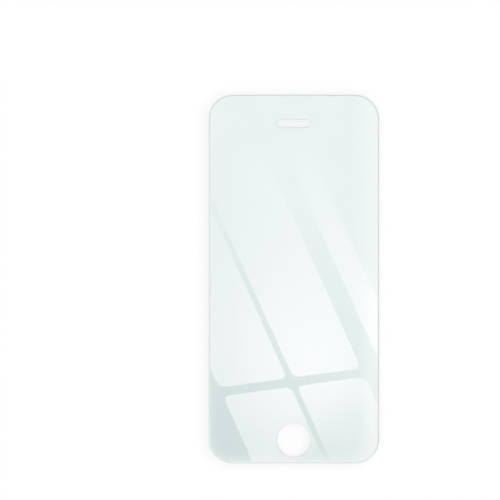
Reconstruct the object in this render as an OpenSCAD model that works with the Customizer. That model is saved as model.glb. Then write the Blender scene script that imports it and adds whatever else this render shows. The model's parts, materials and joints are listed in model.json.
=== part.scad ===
// Clear glass screen protector. It is one thin sheet, ground to a
// rounded-over edge on the front, with a slot near its top end and a round
// hole near its bottom end.
//
// The sheet lies on its back. X runs across it, Y along it towards the slot,
// Z up out of the front face. The origin is the middle of the back face, the
// one by which the sheet clings.

/* [Sheet] */
// Length of the sheet, from the bottom end to the top end
sheet_length = 121.3; // [100:0.1:165]
// Width of the sheet
sheet_width = 56; // [44:0.1:80]
// Thickness of the glass between its two flat faces
glass_thickness = 0.33; // [0.28:0.01:0.55]
// Radius of the four corners of the outline
corner_radius = 8; // [3:0.1:14]

/* [Ground edge] */
// Width of the rounded-over band along the front edge
edge_run = 0.6; // [0.3:0.05:1.2]
// Height that the front face loses across that band
edge_drop = 0.2; // [0.08:0.01:0.2]
// Width and height of the small bevel along the back edge
back_bevel = 0.05; // [0.02:0.01:0.06]

/* [Slot] */
// Length of the slot over its round ends, measured on the wall
slot_length = 11.2; // [6:0.1:20]
// Width of the slot, measured on the wall
slot_width = 2.5; // [1.2:0.1:4]
// Distance from the top end of the sheet to the middle of the slot
slot_from_top = 9.4; // [5:0.1:16]

/* [Round hole] */
// Diameter of the hole, measured on the wall
button_hole_diameter = 11.2; // [7:0.1:13]
// Distance from the bottom end of the sheet to the middle of the hole
button_hole_from_bottom = 7.7; // [7.5:0.1:14]

/* [Cut-out rims] */
// Width of the bevel round each cut-out on the front face
rim_bevel_width = 0.2; // [0.05:0.01:0.3]
// Height of that bevel
rim_bevel_depth = 0.1; // [0.04:0.01:0.14]

/* [Hidden] */
$fn = 128;

// How far a cutter stands clear of the faces it passes through
cutter_overrun = 1;

// Clear glass with the pale blue-green cast that its edge shows
glass_colour = [0.82, 0.92, 0.90, 0.55];

// The rounded-over edge is an arc that leaves the front face without a kink
// and meets the upright land edge_drop lower, edge_run further out.
edge_arc_radius = (edge_run * edge_run + edge_drop * edge_drop) / (2 * edge_drop);
land_top = glass_thickness - edge_drop;

// The straight stretches of the outline, between the corners
straight_length = sheet_length - 2 * corner_radius;
straight_width = sheet_width - 2 * corner_radius;

slot_y = sheet_length / 2 - slot_from_top;
button_hole_y = button_hole_from_bottom - sheet_length / 2;

// The arc of the ground edge, from the front face out to the land
module edge_arc(reach) {
    arc_start = reach - edge_run;
    intersection() {
        translate([arc_start, land_top])
            square([edge_run, edge_drop]);
        translate([arc_start, glass_thickness - edge_arc_radius])
            circle(r = edge_arc_radius);
    }
}

// Upright section from the middle of the glass out to its edge at x = reach.
// The back face is at y = 0.
module edge_section(reach) {
    polygon([
        [0, 0],
        [reach - back_bevel, 0],
        [reach, back_bevel],
        [reach, land_top],
        [reach - edge_run, land_top],
        [reach - edge_run, glass_thickness],
        [0, glass_thickness]
    ]);
    edge_arc(reach);
}

// Section right across the sheet, with the ground edge on both sides
module sheet_section(width) {
    edge_section(width / 2);
    mirror([1, 0])
        edge_section(width / 2);
}

// One quarter turn of the ground edge, round the middle of a corner
module corner() {
    rotate_extrude(angle = 90)
        edge_section(corner_radius);
}

// The sheet before anything is cut in it: a band that has the two long edges,
// a band that has the two short ones, and the four corners.
module blank() {
    rotate([90, 0, 0])
        linear_extrude(height = straight_length, center = true)
            sheet_section(sheet_width);
    rotate([90, 0, 90])
        linear_extrude(height = straight_width, center = true)
            sheet_section(sheet_length);
    for (side = [0, 1], end = [0, 1])
        mirror([side, 0, 0])
            mirror([0, end, 0])
                translate([straight_width / 2, straight_length / 2, 0])
                    corner();
}

// Upright section of a cutter, from its middle line out to the wall it leaves.
// It flares at the back and front faces, which makes the bevels there.
module cutter_section(width) {
    wall = width / 2;
    back_reach = wall + back_bevel + cutter_overrun;
    front_flare = rim_bevel_width / rim_bevel_depth;
    front_reach = wall + rim_bevel_width + front_flare * cutter_overrun;
    polygon([
        [0, -cutter_overrun],
        [back_reach, -cutter_overrun],
        [wall, back_bevel],
        [wall, glass_thickness - rim_bevel_depth],
        [front_reach, glass_thickness + cutter_overrun],
        [0, glass_thickness + cutter_overrun]
    ]);
}

// Cutter for a round hole, bevelled at both faces
module hole_cutter(diameter) {
    rotate_extrude()
        cutter_section(diameter);
}

// Cutter for a slot along X with full round ends, bevelled the same way
module slot_cutter(length, width) {
    span = length - width;
    for (end = [-1, 1])
        translate([end * span / 2, 0, 0])
            hole_cutter(width);
    rotate([90, 0, 90])
        linear_extrude(height = span, center = true) {
            cutter_section(width);
            mirror([1, 0])
                cutter_section(width);
        }
}

module glass_sheet() {
    color(glass_colour)
        difference() {
            blank();
            translate([0, slot_y, 0])
                slot_cutter(slot_length, slot_width);
            translate([0, button_hole_y, 0])
                hole_cutter(button_hole_diameter);
        }
}

glass_sheet();
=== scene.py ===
# A clear glass screen protector lies on its back on a white floor, seen from straight above.
import json
import math

import bmesh
import bpy
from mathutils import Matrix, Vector


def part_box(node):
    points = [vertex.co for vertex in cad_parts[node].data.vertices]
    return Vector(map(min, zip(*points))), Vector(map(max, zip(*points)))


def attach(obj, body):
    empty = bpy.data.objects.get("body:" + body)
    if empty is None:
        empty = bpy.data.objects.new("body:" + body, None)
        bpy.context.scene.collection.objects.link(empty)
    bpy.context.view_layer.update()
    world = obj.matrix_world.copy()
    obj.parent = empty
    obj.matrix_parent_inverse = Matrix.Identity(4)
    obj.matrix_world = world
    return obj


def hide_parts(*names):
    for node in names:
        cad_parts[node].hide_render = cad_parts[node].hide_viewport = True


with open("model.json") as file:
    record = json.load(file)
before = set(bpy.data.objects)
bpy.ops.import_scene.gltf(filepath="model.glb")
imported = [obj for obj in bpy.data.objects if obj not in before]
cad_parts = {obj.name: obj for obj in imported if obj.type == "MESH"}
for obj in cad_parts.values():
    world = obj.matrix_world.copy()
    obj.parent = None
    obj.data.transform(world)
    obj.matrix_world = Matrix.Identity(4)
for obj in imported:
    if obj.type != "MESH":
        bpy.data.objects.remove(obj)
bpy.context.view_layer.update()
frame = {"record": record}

sheetLow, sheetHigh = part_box("glass_sheet")
mounts = {mount["name"]: mount for mount in frame["record"]["mounts"]}
print("frame loaded")

# The camera looks straight down, from where the middle of the sheet comes to sheetPixel.
picture = {
    "side": 500,  # pixels
    "pixelsPerMetre": 3035,  # at the sheet
    "sheetPixel": (294.0, 279.05),
    "lens": 100.0,  # millimetres, as is the sensor
    "sensor": 36.0,
    "nearest": 0.01,  # metres from the camera, as is farthest
    "farthest": 20.0,
}
pictureScale = picture["pixelsPerMetre"]
eye = Vector((
    (picture["side"] / 2 - picture["sheetPixel"][0]) / pictureScale,
    (picture["sheetPixel"][1] - picture["side"] / 2) / pictureScale,
    picture["side"] / pictureScale * picture["lens"] / picture["sensor"],
))


def makeCamera():
    data = bpy.data.cameras.new("camera")
    data.lens = picture["lens"]
    data.sensor_width = picture["sensor"]
    data.dof.use_dof = False
    data.clip_start = picture["nearest"]
    data.clip_end = picture["farthest"]
    camera = bpy.data.objects.new("camera", data)
    camera.location = eye
    bpy.context.scene.collection.objects.link(camera)
    bpy.context.scene.camera = camera


makeCamera()
print("camera ready")


def addObject(name, bm, materials):
    mesh = bpy.data.meshes.new(name)
    bm.to_mesh(mesh)
    bm.free()
    for material in materials:
        mesh.materials.append(material)
    thing = bpy.data.objects.new(name, mesh)
    bpy.context.scene.collection.objects.link(thing)
    return thing


def newMaterial(name):
    material = bpy.data.materials.new(name)
    material.use_nodes = True
    material.node_tree.nodes.clear()
    return material, material.node_tree


def addNode(tree, kind, settings=None, values=None):
    node = tree.nodes.new(kind)
    for key, value in (settings or {}).items():
        setattr(node, key, value)
    for key, value in (values or {}).items():
        node.inputs[key].default_value = value
    return node


def joinNodes(tree, *pairs):
    for start, end in pairs:
        tree.links.new(start, end)


def ramp(tree, start, end, kind="LINEAR"):
    # Goes from end[0] to end[1] while its value goes from start[0] to start[1].
    node = addNode(tree, "ShaderNodeMapRange", {"interpolation_type": kind})
    for name, value in zip(("From Min", "From Max", "To Min", "To Max"), (*start, *end)):
        node.inputs[name].default_value = value
    return node


# How far a place lies outside a rounded rectangle. Inside it the value is negative.
def makeOutlineGroup():
    group = bpy.data.node_groups.new("outlineDistance", "ShaderNodeTree")
    for name in ("Place", "Middle", "Core"):
        group.interface.new_socket(name, in_out="INPUT", socket_type="NodeSocketVector")
    group.interface.new_socket("Radius", in_out="INPUT", socket_type="NodeSocketFloat")
    group.interface.new_socket("Distance", in_out="OUTPUT", socket_type="NodeSocketFloat")
    ends = addNode(group, "NodeGroupInput"), addNode(group, "NodeGroupOutput")
    moved = addNode(group, "ShaderNodeVectorMath", {"operation": "SUBTRACT"})
    flat = addNode(group, "ShaderNodeVectorMath", {"operation": "MULTIPLY"}, {1: (1, 1, 0)})
    folded = addNode(group, "ShaderNodeVectorMath", {"operation": "ABSOLUTE"})
    beyond = addNode(group, "ShaderNodeVectorMath", {"operation": "SUBTRACT"})
    kept = addNode(group, "ShaderNodeVectorMath", {"operation": "MAXIMUM"}, {1: (0, 0, 0)})
    length = addNode(group, "ShaderNodeVectorMath", {"operation": "LENGTH"})
    distance = addNode(group, "ShaderNodeMath", {"operation": "SUBTRACT"})
    joinNodes(
        group,
        (ends[0].outputs["Place"], moved.inputs[0]),
        (ends[0].outputs["Middle"], moved.inputs[1]),
        (moved.outputs[0], flat.inputs[0]),
        (flat.outputs[0], folded.inputs[0]),
        (folded.outputs[0], beyond.inputs[0]),
        (ends[0].outputs["Core"], beyond.inputs[1]),
        (beyond.outputs[0], kept.inputs[0]),
        (kept.outputs[0], length.inputs[0]),
        (length.outputs["Value"], distance.inputs[0]),
        (ends[0].outputs["Radius"], distance.inputs[1]),
        (distance.outputs[0], ends[1].inputs["Distance"]),
    )
    return group


outlineGroup = makeOutlineGroup()

# The glass sheet. Sizes are in metres, and the rest comes from the frame.
sheet = {
    "cornerRadius": 0.008,
    "edgeRun": 0.0006,
    "edgeDrop": 0.0002,
    "backBevel": 0.00005,
    "slotLength": 0.0112,
    "slotWidth": 0.0025,
    "rimBevelWidth": 0.0002,
    "rimBevelDepth": 0.0001,
    "arcSteps": 8,
    "cornerSteps": 24,
    "rimSteps": 20,
    "sharpAngle": 30.0,  # degrees
    "mergeDistance": 0.000002,
    "levelTolerance": 0.00001,  # how close to a flat face an open edge has to lie to bound it
}
sheetMiddle = Vector(((sheetLow.x + sheetHigh.x) / 2, (sheetLow.y + sheetHigh.y) / 2, 0))
sheetCore = (
    (sheetHigh.x - sheetLow.x) / 2 - sheet["cornerRadius"],
    (sheetHigh.y - sheetLow.y) / 2 - sheet["cornerRadius"],
)
slotRadius = sheet["slotWidth"] / 2
cutouts = (  # middle, half of the straight part, radius
    (Vector(mounts["button_hole"]["pos_m"]), (0.0, 0.0), mounts["button_hole"]["dims"]["r_mm"] / 1000),
    (Vector(mounts["earpiece_slot"]["pos_m"]), (sheet["slotLength"] / 2 - slotRadius, 0.0), slotRadius),
)

# The plain sky that lights everything.
white = (1.0, 1.0, 1.0)
skyStrength = 1.0

# What the two faces and the ground edges are made of.
glass = {
    "tint": (0.785, 0.860, 0.846),  # what one pass through the sheet leaves of white light
    "tintDrift": 0.015,
    "driftScale": 22.0,
    "driftDetail": 2.0,
    "index": 1.5,
}
edge = {
    "polishedTo": 0.42,  # share of the way out up to which the falling edge is as polished as the face
    "innerTint": (0.80, 0.865, 0.85),  # where the grinding starts
    "tint": (0.67, 0.645, 0.66),  # at the very edge, where the grinding is coarsest
    "clear": 0.65,  # share that goes through ground glass, while the rest is scattered back
    "groundFrom": (0.45, 0.85),  # share of the way out where the grinding starts and is full
    "cutoutGround": 0.62,  # how far a cut-out's rim is ground
    "shine": 1.0,
    "roughness": 0.28,
    "grainScale": 5200.0,
    "grainDetail": 3.0,
    "grainStrength": 0.15,
    "grainHeight": 0.00002,
}


def outlineNode(tree, place, middle, core, radius):
    node = addNode(tree, "ShaderNodeGroup", {"node_tree": outlineGroup})
    node.inputs["Middle"].default_value = middle
    node.inputs["Core"].default_value = (core[0], core[1], 0)
    node.inputs["Radius"].default_value = radius
    joinNodes(tree, (place, node.inputs["Place"]))
    return node


def opaque(colour):
    return (colour[0], colour[1], colour[2], 1.0)


def clearStandIn(tree, shader, tint):
    # Shadow rays and those that the floor scatters go straight through, tinted once at each face.
    path = addNode(tree, "ShaderNodeLightPath")
    faceTint = opaque([math.sqrt(part) for part in tint])
    clear = addNode(tree, "ShaderNodeBsdfTransparent", values={"Color": faceTint})
    inner = addNode(tree, "ShaderNodeMixShader")
    outer = addNode(tree, "ShaderNodeMixShader")
    out = addNode(tree, "ShaderNodeOutputMaterial")
    joinNodes(
        tree,
        (path.outputs["Is Diffuse Ray"], inner.inputs["Fac"]),
        (shader.outputs["BSDF"], inner.inputs[1]),
        (clear.outputs["BSDF"], inner.inputs[2]),
        (path.outputs["Is Shadow Ray"], outer.inputs["Fac"]),
        (inner.outputs["Shader"], outer.inputs[1]),
        (clear.outputs["BSDF"], outer.inputs[2]),
        (outer.outputs["Shader"], out.inputs["Surface"]),
    )


# The tint drifts a little over the sheet.
def makePolishedGlass():
    material, tree = newMaterial("polishedGlass")
    place = addNode(tree, "ShaderNodeTexCoord")
    cloud = addNode(tree, "ShaderNodeTexNoise")
    cloud.inputs["Scale"].default_value = glass["driftScale"]
    cloud.inputs["Detail"].default_value = glass["driftDetail"]
    drift = ramp(tree, (0, 1), (1 - glass["tintDrift"], 1 + glass["tintDrift"]))
    drifted = addNode(tree, "ShaderNodeVectorMath", {"operation": "SCALE"}, {0: glass["tint"]})
    shader = addNode(tree, "ShaderNodeBsdfPrincipled")
    shader.inputs["Transmission Weight"].default_value = 1.0
    shader.inputs["Roughness"].default_value = 0.0
    shader.inputs["IOR"].default_value = glass["index"]
    joinNodes(
        tree,
        (place.outputs["Object"], cloud.inputs["Vector"]),
        (cloud.outputs["Fac"], drift.inputs["Value"]),
        (drift.outputs["Result"], drifted.inputs["Scale"]),
        (drifted.outputs[0], shader.inputs["Base Color"]),
    )
    clearStandIn(tree, shader, glass["tint"])
    return material


# Ground glass gets greyer from the face out to the edge.
def makeGroundGlass():
    material, tree = newMaterial("groundGlass")
    ground = addNode(tree, "ShaderNodeAttribute", {"attribute_name": "ground"})
    share = ramp(tree, edge["groundFrom"], (0, 1), "SMOOTHSTEP")
    place = addNode(tree, "ShaderNodeTexCoord")
    grain = addNode(tree, "ShaderNodeTexNoise")
    grain.inputs["Scale"].default_value = edge["grainScale"]
    grain.inputs["Detail"].default_value = edge["grainDetail"]
    tint = addNode(tree, "ShaderNodeMix", {"data_type": "RGBA"})
    tint.inputs["A"].default_value = opaque(edge["innerTint"])
    tint.inputs["B"].default_value = opaque(edge["tint"])
    bump = addNode(tree, "ShaderNodeBump")
    bump.inputs["Strength"].default_value = edge["grainStrength"]
    bump.inputs["Distance"].default_value = edge["grainHeight"]
    shader = addNode(tree, "ShaderNodeBsdfPrincipled")
    shader.inputs["Transmission Weight"].default_value = edge["clear"]
    shader.inputs["Specular IOR Level"].default_value = edge["shine"]
    shader.inputs["Roughness"].default_value = edge["roughness"]
    shader.inputs["IOR"].default_value = glass["index"]
    joinNodes(
        tree,
        (ground.outputs["Fac"], share.inputs["Value"]),
        (share.outputs["Result"], tint.inputs["Factor"]),
        (tint.outputs["Result"], shader.inputs["Base Color"]),
        (place.outputs["Object"], grain.inputs["Vector"]),
        (grain.outputs["Fac"], bump.inputs["Height"]),
        (bump.outputs["Normal"], shader.inputs["Normal"]),
    )
    clearStandIn(tree, shader, glass["tint"])
    return material


# A wire lies in an upright plane through the middle of a loop. This sweeps it round the loop,
# straight along each side and in a quarter turn round each corner.
def sweepRound(bm, wire, middle, core, steps):
    across, along = core
    upright = Vector((0, 0, 1))
    legs = (
        (Vector((0, 2 * along, 0)), Vector((across, along, 0))),
        (Vector((-2 * across, 0, 0)), Vector((-across, along, 0))),
        (Vector((0, -2 * along, 0)), Vector((-across, -along, 0))),
        (Vector((2 * across, 0, 0)), Vector((across, -along, 0))),
    )
    for move, corner in legs:
        if move.length > 0:
            spun = bmesh.ops.spin(
                bm, geom=wire, cent=middle, axis=upright, dvec=move, angle=0, steps=1
            )
            wire = spun["geom_last"]
        spun = bmesh.ops.spin(
            bm, geom=wire, cent=middle + corner, axis=upright, angle=math.pi / 2, steps=steps
        )
        wire = spun["geom_last"]


# The wire of the outline: the arc of the ground edge, the upright land and the small back bevel.
def outlineWire(bm, ground):
    run, drop, bevel = sheet["edgeRun"], sheet["edgeDrop"], sheet["backBevel"]
    reach = sheetHigh.x
    arcRadius = (run * run + drop * drop) / (2 * drop)
    arcStart = Vector((reach - run, -sheetCore[1], sheetHigh.z))
    first = bm.verts.new(arcStart)
    bmesh.ops.spin(
        bm,
        geom=[first],
        cent=arcStart - Vector((0, 0, arcRadius)),
        axis=(0, 1, 0),
        angle=math.asin(run / arcRadius),
        steps=sheet["arcSteps"],
    )
    last = max(bm.verts, key=lambda vert: vert.co.x)
    for height, inset in ((bevel, 0.0), (0.0, bevel)):
        grown = bmesh.ops.extrude_vert_indiv(bm, verts=[last])
        last = grown["verts"][0]
        last.co = (reach - inset, -sheetCore[1], sheetLow.z + height)
    for vert in bm.verts:
        vert[ground] = min(1.0, (vert.co.x - arcStart.x) / run)
    return list(bm.verts) + list(bm.edges)


# The wire of a cut-out's wall, bevelled at both faces.
def cutWire(bm, ground, middle, core, radius):
    points = (
        (sheet["backBevel"], sheetLow.z),
        (0.0, sheetLow.z + sheet["backBevel"]),
        (0.0, sheetHigh.z - sheet["rimBevelDepth"]),
        (sheet["rimBevelWidth"], sheetHigh.z),
    )
    start = middle + Vector((core[0] + radius, -core[1], 0))
    verts = [bm.verts.new((start.x + away, start.y, height)) for away, height in points]
    edges = [bm.edges.new(pair) for pair in zip(verts, verts[1:])]
    for vert in verts:
        vert[ground] = edge["cutoutGround"]
    return verts + edges


def makeSheet():
    bm = bmesh.new()
    ground = bm.verts.layers.float.new("ground")
    sweepRound(bm, outlineWire(bm, ground), sheetMiddle, sheetCore, sheet["cornerSteps"])
    for place, core, radius in cutouts:
        flatPlace = Vector((place.x, place.y, 0))
        wire = cutWire(bm, ground, flatPlace, core, radius)
        sweepRound(bm, wire, flatPlace, core, sheet["rimSteps"])
    bmesh.ops.remove_doubles(bm, verts=bm.verts, dist=sheet["mergeDistance"])

    for face in bm.faces:
        isGround = max(vert[ground] for vert in face.verts) > edge["polishedTo"]
        face.material_index = 1 if isGround else 0
        face.smooth = True
    for height in (sheetLow.z, sheetHigh.z):
        rims = [
            side for side in bm.edges
            if side.is_boundary and abs(side.verts[0].co.z - height) < sheet["levelTolerance"]
        ]
        filled = bmesh.ops.triangle_fill(bm, use_beauty=True, edges=rims, normal=(0, 0, 1))
        for face in [part for part in filled["geom"] if isinstance(part, bmesh.types.BMFace)]:
            face.material_index = 0
            face.smooth = False
    bmesh.ops.recalc_face_normals(bm, faces=bm.faces)
    for fold in bm.edges:
        fold.smooth = fold.calc_face_angle() < math.radians(sheet["sharpAngle"])

    piece = addObject("protectorGlass", bm, [makePolishedGlass(), makeGroundGlass()])
    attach(piece, "root")
    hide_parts("glass_sheet")


makeSheet()
print("glass sheet ready")

# The floor is white. A soft shadow is painted into its colour beside the sheet and inside the hole and
# the slot, with a faint painted shade under the sheet.
floor = {
    "radius": 6.0,
    "segments": 64,
    "below": 0.00005,  # a hair under the sheet's back face
    "shift": (-0.0012, 0.0, 0.0),  # each shade lies a little to the left
    "outerShade": 0.09,
    "outerReach": (-0.0024, 0.0036),  # full and gone, from the shifted outline
    "outerSeen": (-0.0002, 0.0),  # hidden and seen, from the outline itself
    "holeShade": 0.07,
    "holeReach": (0.0012, -0.0026),  # full outside the hole's shifted outline and gone inside it
    "slotShade": 0.09,
    "slotReach": (0.0012, -0.0052),
    "cutSeen": (0.0002, 0.0),
    "underShade": 0.015,  # over all that the sheet's outline holds
}


# A painted shadow in the floor's colour, soft from an outline moved a little to the left and seen on one
# side of the true outline only.
def makeShade(tree, place, shape, reach, depth, seen):
    middle, core, radius = shape
    shifted = outlineNode(tree, place, middle + Vector(floor["shift"]), core, radius)
    outline = outlineNode(tree, place, middle, core, radius)
    soft = ramp(tree, reach, (depth, 0), "SMOOTHSTEP")
    mask = ramp(tree, seen, (0, 1))
    product = addNode(tree, "ShaderNodeMath", {"operation": "MULTIPLY"})
    joinNodes(
        tree,
        (shifted.outputs["Distance"], soft.inputs["Value"]),
        (outline.outputs["Distance"], mask.inputs["Value"]),
        (soft.outputs["Result"], product.inputs[0]),
        (mask.outputs["Result"], product.inputs[1]),
    )
    return product.outputs[0], outline.outputs["Distance"]


def makeFloor():
    material, tree = newMaterial("whiteFloor")
    place = addNode(tree, "ShaderNodeTexCoord").outputs["Object"]
    outer = (sheetMiddle, sheetCore, sheet["cornerRadius"])
    shade, outline = makeShade(
        tree, place, outer, floor["outerReach"], floor["outerShade"], floor["outerSeen"]
    )
    shades = [shade]
    insides = ((floor["holeReach"], floor["holeShade"]), (floor["slotReach"], floor["slotShade"]))
    for cut, (reach, depth) in zip(cutouts, insides):
        shades.append(makeShade(tree, place, cut, reach, depth, floor["cutSeen"])[0])
    # Painted shade: the floor is a little darker over all that the sheet's outline holds, and each
    # painted shadow is taken off that.
    under = ramp(tree, floor["outerSeen"], (1 - floor["underShade"], 1))
    joinNodes(tree, (outline, under.inputs["Value"]))
    level = under.outputs["Result"]
    for shade in shades:
        less = addNode(tree, "ShaderNodeMath", {"operation": "SUBTRACT"})
        joinNodes(tree, (level, less.inputs[0]), (shade, less.inputs[1]))
        level = less.outputs[0]
    shader = addNode(tree, "ShaderNodeBsdfDiffuse")
    side = addNode(tree, "ShaderNodeNewGeometry")
    clear = addNode(tree, "ShaderNodeBsdfTransparent")
    fromBelow = addNode(tree, "ShaderNodeMixShader")  # so that the back face shows from under the floor
    out = addNode(tree, "ShaderNodeOutputMaterial")
    joinNodes(
        tree,
        (level, shader.inputs["Color"]),
        (side.outputs["Backfacing"], fromBelow.inputs["Fac"]),
        (shader.outputs["BSDF"], fromBelow.inputs[1]),
        (clear.outputs["BSDF"], fromBelow.inputs[2]),
        (fromBelow.outputs["Shader"], out.inputs["Surface"]),
    )
    bm = bmesh.new()
    bmesh.ops.create_circle(bm, cap_ends=True, radius=floor["radius"], segments=floor["segments"])
    bmesh.ops.translate(bm, verts=bm.verts, vec=(0, 0, sheetLow.z - floor["below"]))
    addObject("whiteFloor", bm, [material])


makeFloor()

# A window of bright panes hangs over the sheet and is seen only in the glass.
# Places and widths are those of its reflection as it lies on the sheet, in metres.
window = {
    "height": 0.6,  # over the sheet
    "wallGap": 0.01,  # from the panes up to the wall behind them
    "wallSize": 0.48,  # half its side
    "fade": (0.13, 0.2),  # away from the middle the wall goes over into the plain white sky
    "crossing": (-0.00066, -0.03397),  # where the post between the first two columns meets the bar
    "postLean": -0.45,  # sideways for each metre along the sheet
    "barClimb": 0.136,  # along the sheet for each metre sideways
    "columns": ((-0.0234, -0.00096), (0.00096, 0.0234), (0.0300, 0.03805)),  # from the crossing
    "rows": ((0.00138, 0.11), (-0.045, -0.00138)),
    "cornerRadius": 0.0022,
    "cornerSteps": 8,
    "glowPlace": (0.0053, -0.0274, 0.0),
    "glowReach": 0.0766,
    "glow": 0.813,
    "dimPlace": (0.0369, -0.0759, 0.0),
    "dimReach": (0.034, 0.048),
    "dim": 0.248,
    "frameMiddle": (-0.0022, 0.00175, 0.0),  # a bright frame round all of it, widest on the right
    "frameCore": (0.0187, 0.05445),
    "frameRadius": 0.0098,
    "frameFrom": -0.0057,
    "frame": 0.328,
    "frameLeft": (-0.036, -0.028),  # the frame is gone and full, so that it ends beside the sheet
    "frameBelow": (-0.075, -0.062),  # where it is frameGain times as strong, and where it starts to grow
    "frameGain": 2.0,
    "wallSlope": (9.8, 10.5, 0.0),  # growth of the wall's light for each metre right and up
    "wallRange": (-0.736, 0.264),
    "darkLevel": (1.18, 0.88, 1.1),
    "wallLevel": (3.82, 3.06, 3.33),
    "brightLevel": (6.32, 4.64, 5.26),
}


def windowGrowth():
    # How much larger the window is than its reflection on the sheet, as the camera sees it.
    return (eye.z + window["height"]) / eye.z


def windowSpot(across, along):
    x = window["crossing"][0] + across + window["postLean"] * along
    y = window["crossing"][1] + along + window["barClimb"] * across
    growth = windowGrowth()
    return Vector((eye.x + (x - eye.x) * growth, eye.y + (y - eye.y) * growth, window["height"]))


def makeWindowLight():
    material, tree = newMaterial("windowLight")
    shrink = 1 / windowGrowth()
    place = addNode(tree, "ShaderNodeTexCoord")
    onSheet = addNode(tree, "ShaderNodeMapping")
    onSheet.inputs["Scale"].default_value = (shrink, shrink, 0)
    onSheet.inputs["Location"].default_value = (eye.x * (1 - shrink), eye.y * (1 - shrink), 0)
    slope = addNode(tree, "ShaderNodeVectorMath", {"operation": "DOT_PRODUCT"})
    slope.inputs[1].default_value = window["wallSlope"]
    wallShare = ramp(tree, window["wallRange"], (0, 1))
    wall = addNode(tree, "ShaderNodeMix", {"data_type": "RGBA"})
    wall.inputs["A"].default_value = opaque(window["darkLevel"])
    wall.inputs["B"].default_value = opaque(window["wallLevel"])
    frameShape = window["frameMiddle"], window["frameCore"], window["frameRadius"]
    outline = outlineNode(tree, onSheet.outputs["Vector"], *frameShape)
    rim = ramp(tree, (window["frameFrom"], 0), (0, window["frame"]), "SMOOTHSTEP")
    parts = addNode(tree, "ShaderNodeSeparateXYZ")
    leftPart = ramp(tree, window["frameLeft"], (0, 1))
    lowPart = ramp(tree, window["frameBelow"], (window["frameGain"], 1))
    rimLeft = addNode(tree, "ShaderNodeMath", {"operation": "MULTIPLY"})
    rimLit = addNode(tree, "ShaderNodeMath", {"operation": "MULTIPLY"})
    glowAway = addNode(tree, "ShaderNodeVectorMath", {"operation": "DISTANCE"})
    glowAway.inputs[1].default_value = window["glowPlace"]
    glow = ramp(tree, (0, window["glowReach"]), (window["glow"], 0))
    dimAway = addNode(tree, "ShaderNodeVectorMath", {"operation": "DISTANCE"})
    dimAway.inputs[1].default_value = window["dimPlace"]
    dim = ramp(tree, window["dimReach"], (window["dim"], 0))
    pane = addNode(tree, "ShaderNodeAttribute", {"attribute_name": "pane"})
    lit = addNode(tree, "ShaderNodeMath", {"operation": "SUBTRACT"})
    paneLit = addNode(tree, "ShaderNodeMath", {"operation": "MULTIPLY"})
    brightness = addNode(tree, "ShaderNodeMath", {"operation": "ADD", "use_clamp": True})
    level = addNode(tree, "ShaderNodeMix", {"data_type": "RGBA"})
    level.inputs["B"].default_value = opaque(window["brightLevel"])
    away = addNode(tree, "ShaderNodeVectorMath", {"operation": "LENGTH"})
    fade = ramp(tree, window["fade"], (1, 0), "SMOOTHSTEP")
    faded = addNode(tree, "ShaderNodeMix", {"data_type": "RGBA"})
    faded.inputs["A"].default_value = opaque(white)
    shader = addNode(tree, "ShaderNodeEmission")
    out = addNode(tree, "ShaderNodeOutputMaterial")
    joinNodes(
        tree,
        (place.outputs["Object"], onSheet.inputs["Vector"]),
        (onSheet.outputs["Vector"], slope.inputs[0]),
        (slope.outputs["Value"], wallShare.inputs["Value"]),
        (wallShare.outputs["Result"], wall.inputs["Factor"]),
        (outline.outputs["Distance"], rim.inputs["Value"]),
        (onSheet.outputs["Vector"], parts.inputs[0]),
        (parts.outputs["X"], leftPart.inputs["Value"]),
        (parts.outputs["Y"], lowPart.inputs["Value"]),
        (rim.outputs["Result"], rimLeft.inputs[0]),
        (leftPart.outputs["Result"], rimLeft.inputs[1]),
        (rimLeft.outputs[0], rimLit.inputs[0]),
        (lowPart.outputs["Result"], rimLit.inputs[1]),
        (onSheet.outputs["Vector"], glowAway.inputs[0]),
        (glowAway.outputs["Value"], glow.inputs["Value"]),
        (onSheet.outputs["Vector"], dimAway.inputs[0]),
        (dimAway.outputs["Value"], dim.inputs["Value"]),
        (glow.outputs["Result"], lit.inputs[0]),
        (dim.outputs["Result"], lit.inputs[1]),
        (lit.outputs[0], paneLit.inputs[0]),
        (pane.outputs["Fac"], paneLit.inputs[1]),
        (paneLit.outputs[0], brightness.inputs[0]),
        (rimLit.outputs[0], brightness.inputs[1]),
        (brightness.outputs[0], level.inputs["Factor"]),
        (wall.outputs["Result"], level.inputs["A"]),
        (onSheet.outputs["Vector"], away.inputs[0]),
        (away.outputs["Value"], fade.inputs["Value"]),
        (fade.outputs["Result"], faded.inputs["Factor"]),
        (level.outputs["Result"], faded.inputs["B"]),
        (faded.outputs["Result"], shader.inputs["Color"]),
        (shader.outputs["Emission"], out.inputs["Surface"]),
    )
    return material


def hangCard(name, bm, material):
    # A light card is seen in the glass alone. It lights nothing else and throws no shadow.
    material.cycles.emission_sampling = "NONE"
    card = addObject(name, bm, [material])
    card.visible_camera = False
    card.visible_diffuse = False
    card.visible_shadow = False
    return card


def makeWindow():
    bm = bmesh.new()
    paneLight = bm.verts.layers.float.new("pane")
    for left, right in window["columns"]:
        for low, high in window["rows"]:
            spots = ((left, low), (right, low), (right, high), (left, high))
            face = bm.faces.new([bm.verts.new(windowSpot(*spot)) for spot in spots])
            for vert in face.verts:
                vert[paneLight] = 1.0
            bmesh.ops.bevel(
                bm,
                geom=list(face.verts),
                offset=window["cornerRadius"] * windowGrowth(),
                offset_type="OFFSET",
                affect="VERTICES",
                segments=window["cornerSteps"],
                profile=0.5,
                material=-1,
            )
    wall = bmesh.ops.create_grid(bm, x_segments=1, y_segments=1, size=window["wallSize"])
    bmesh.ops.translate(bm, verts=wall["verts"], vec=(0, 0, window["height"] + window["wallGap"]))
    hangCard("window", bm, makeWindowLight())


makeWindow()

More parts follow.
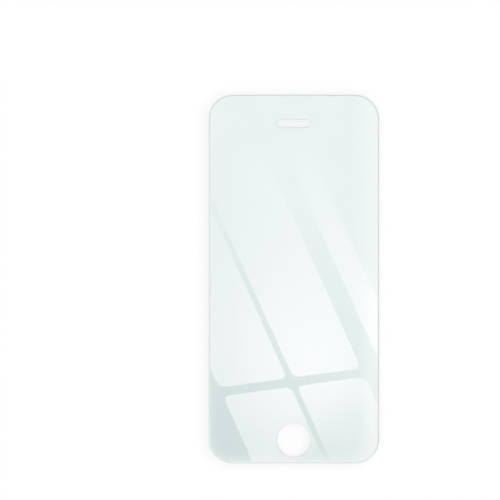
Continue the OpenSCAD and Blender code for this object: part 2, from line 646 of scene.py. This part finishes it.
# A low band of light stands round the sheet, bright to the lower left and dim to the upper right.
# The ground edges show all of it. It fades into the plain white sky at its top and at its foot.
lightBand = {
    "radius": 0.5,
    "height": 0.6,
    "segments": 96,
    "brightSide": (-0.5, -0.866, 0.0),
    "sideReach": 0.2,  # how far over from the middle, towards each side, its light is full
    "dimLevel": 0.25,
    "brightLevel": 3.0,
    "sharpShare": 0.4,  # how much of it the polished faces show
    "foot": (0.1, 0.3),  # the heights between which it grows out of the sky
    "top": (0.4, 0.6),  # and between which it goes back into it
}


def makeLightBand():
    material, tree = newMaterial("lightBand")
    place = addNode(tree, "ShaderNodeTexCoord")
    height = addNode(tree, "ShaderNodeSeparateXYZ")
    side = addNode(tree, "ShaderNodeVectorMath", {"operation": "DOT_PRODUCT"})
    side.inputs[1].default_value = lightBand["brightSide"]
    reach = lightBand["sideReach"]
    overSky = [lightBand[level] - skyStrength for level in ("dimLevel", "brightLevel")]
    extra = ramp(tree, (-reach, reach), overSky)
    foot = ramp(tree, lightBand["foot"], (0, 1), "SMOOTHSTEP")
    top = ramp(tree, lightBand["top"], (1, 0), "SMOOTHSTEP")
    share = addNode(tree, "ShaderNodeMath", {"operation": "MULTIPLY"})
    path = addNode(tree, "ShaderNodeLightPath")
    sharp = ramp(tree, (0, 1), (1, lightBand["sharpShare"]))
    shown = addNode(tree, "ShaderNodeMath", {"operation": "MULTIPLY"})
    strength = addNode(tree, "ShaderNodeMath", {"operation": "MULTIPLY_ADD"}, {2: skyStrength})
    shader = addNode(tree, "ShaderNodeEmission")
    out = addNode(tree, "ShaderNodeOutputMaterial")
    joinNodes(
        tree,
        (place.outputs["Object"], height.inputs[0]),
        (place.outputs["Object"], side.inputs[0]),
        (side.outputs["Value"], extra.inputs["Value"]),
        (height.outputs["Z"], foot.inputs["Value"]),
        (height.outputs["Z"], top.inputs["Value"]),
        (foot.outputs["Result"], share.inputs[0]),
        (top.outputs["Result"], share.inputs[1]),
        (path.outputs["Is Singular Ray"], sharp.inputs["Value"]),
        (share.outputs[0], shown.inputs[0]),
        (sharp.outputs["Result"], shown.inputs[1]),
        (shown.outputs[0], strength.inputs[0]),
        (extra.outputs["Result"], strength.inputs[1]),
        (strength.outputs[0], shader.inputs["Strength"]),
        (shader.outputs["Emission"], out.inputs["Surface"]),
    )
    bm = bmesh.new()
    bmesh.ops.create_cone(
        bm,
        cap_ends=False,
        radius1=lightBand["radius"],
        radius2=lightBand["radius"],
        depth=lightBand["height"],
        segments=lightBand["segments"],
    )
    bmesh.ops.translate(bm, verts=bm.verts, vec=(0, 0, lightBand["height"] / 2))
    band = hangCard("lightBand", bm, material)
    band.visible_transmission = False  # so that it isn't seen through the sheet from below


makeLightBand()


def makeWorld():
    world = bpy.data.worlds.new("studio")
    world.use_nodes = True
    background = world.node_tree.nodes["Background"]
    background.inputs["Color"].default_value = opaque(white)
    background.inputs["Strength"].default_value = skyStrength
    world.cycles.sampling_method = "NONE"  # an even white sky needs no sampling of its own
    bpy.context.scene.world = world


makeWorld()
bpy.context.scene.view_settings.view_transform = "Standard"
print("stage ready")
